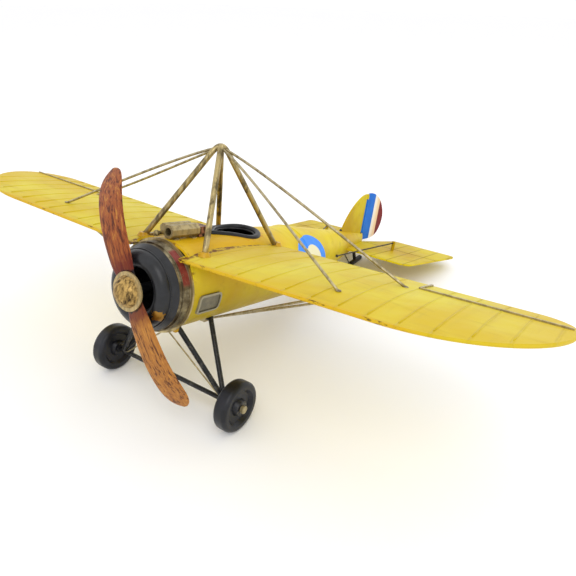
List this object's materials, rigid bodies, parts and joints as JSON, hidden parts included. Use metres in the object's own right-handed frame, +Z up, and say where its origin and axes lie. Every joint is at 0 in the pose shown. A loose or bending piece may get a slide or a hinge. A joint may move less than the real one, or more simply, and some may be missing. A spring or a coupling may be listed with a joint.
{
  "type": "single-wing fighter aeroplane scale model",
  "caption": "Sheet-metal model monoplane with wire bracing, turning propeller and wheels and a hinged rudder, standing on its wheels and tail skid.",
  "frame": {"origin": "on the ground under the middle of the bounding box, with the wheels and the tail skid on z = 0", "axes": "+X towards the port wing tip, -Y towards the nose, +Z up"},
  "size_m": [0.4, 0.3114, 0.1438],
  "materials": {
    "yellow_paint": "satin, worn",
    "black_paint": "satin",
    "wheel_paint": "satin",
    "brass": "aged",
    "breech_paint": "worn",
    "solder_paint": "satin",
    "blade_paint": "painted wood grain, varnished",
    "rudder_paint": "satin, three stripes",
    "plate_metal": "dull",
    "dark_steel": "dull"
  },
  "bodies": {
    "airframe": {"aileron_outlines": "brass", "axle": "black_paint", "axle_collars": "black_paint", "belly_anchor": "brass", "cabane_foot_solder": "solder_paint", "cabane_front_port": "brass", "cabane_front_starboard": "brass", "cabane_rear_port": "brass", "cabane_rear_starboard": "brass", "cockpit_coaming": "black_paint", "control_rod_pins": "dark_steel", "control_rods": "dark_steel", "cowl_band": "brass", "cowl_nose_ring": "black_paint", "cowl_rim": "brass", "cross_wire_to_port": "brass", "cross_wire_to_starboard": "brass", "elevator_horns": "yellow_paint", "fin": "yellow_paint", "fuselage_barrel": "yellow_paint", "fuselage_tail_cone": "yellow_paint", "gear_strut_front_port": "black_paint", "gear_strut_front_starboard": "black_paint", "gear_strut_rear_port": "black_paint", "gear_strut_rear_starboard": "black_paint", "gun_breech": "breech_paint", "gun_jacket": "brass", "gun_saddles": "brass", "gun_small_barrel": "brass", "hub_caps": "brass", "lower_brace_front_port": "brass", "lower_brace_front_starboard": "brass", "lower_brace_rear_port": "brass", "lower_brace_rear_starboard": "brass", "nose_former": "yellow_paint", "rudder_post": "dark_steel", "shaft_bush": "brass", "side_plates": "plate_metal", "skid_wire": "brass", "tail_skid": "black_paint", "tailplane_port": "yellow_paint", "tailplane_starboard": "yellow_paint", "upper_brace_front_port": "brass", "upper_brace_front_starboard": "brass", "upper_brace_rear_port": "brass", "upper_brace_rear_starboard": "brass", "wing_port": "yellow_paint", "wing_root_rod": "brass", "wing_starboard": "yellow_paint"},
    "propeller": {"propeller_shaft": "dark_steel", "shaft_collar": "dark_steel", "propeller_hub": "black_paint", "spinner_flange": "brass", "spinner_dome": "brass", "blade_upper": "blade_paint", "blade_lower": "blade_paint"},
    "wheel_port": {"wheel_port": "wheel_paint"},
    "wheel_starboard": {"wheel_starboard": "wheel_paint"},
    "rudder": {"rudder": "rudder_paint"}
  },
  "joints": [
    {"name": "propeller_spin", "type": "hinge", "parent": "airframe", "child": "propeller", "pos_m": [0, -0.1471, 0.08115], "axis": [0, 0.9703, -0.2419], "continuous": true},
    {"name": "wheel_port_spin", "type": "hinge", "parent": "airframe", "child": "wheel_port", "pos_m": [0.05, -0.12567, 0.015], "axis": [1, 0, 0], "continuous": true},
    {"name": "wheel_starboard_spin", "type": "hinge", "parent": "airframe", "child": "wheel_starboard", "pos_m": [-0.05, -0.12567, 0.015], "axis": [1, 0, 0], "continuous": true},
    {"name": "rudder_hinge", "type": "hinge", "parent": "airframe", "child": "rudder", "pos_m": [0, 0.11681, 0.03596], "axis": [0, 0.2419, 0.9703], "range_deg": [-20, 20]}
  ]
}
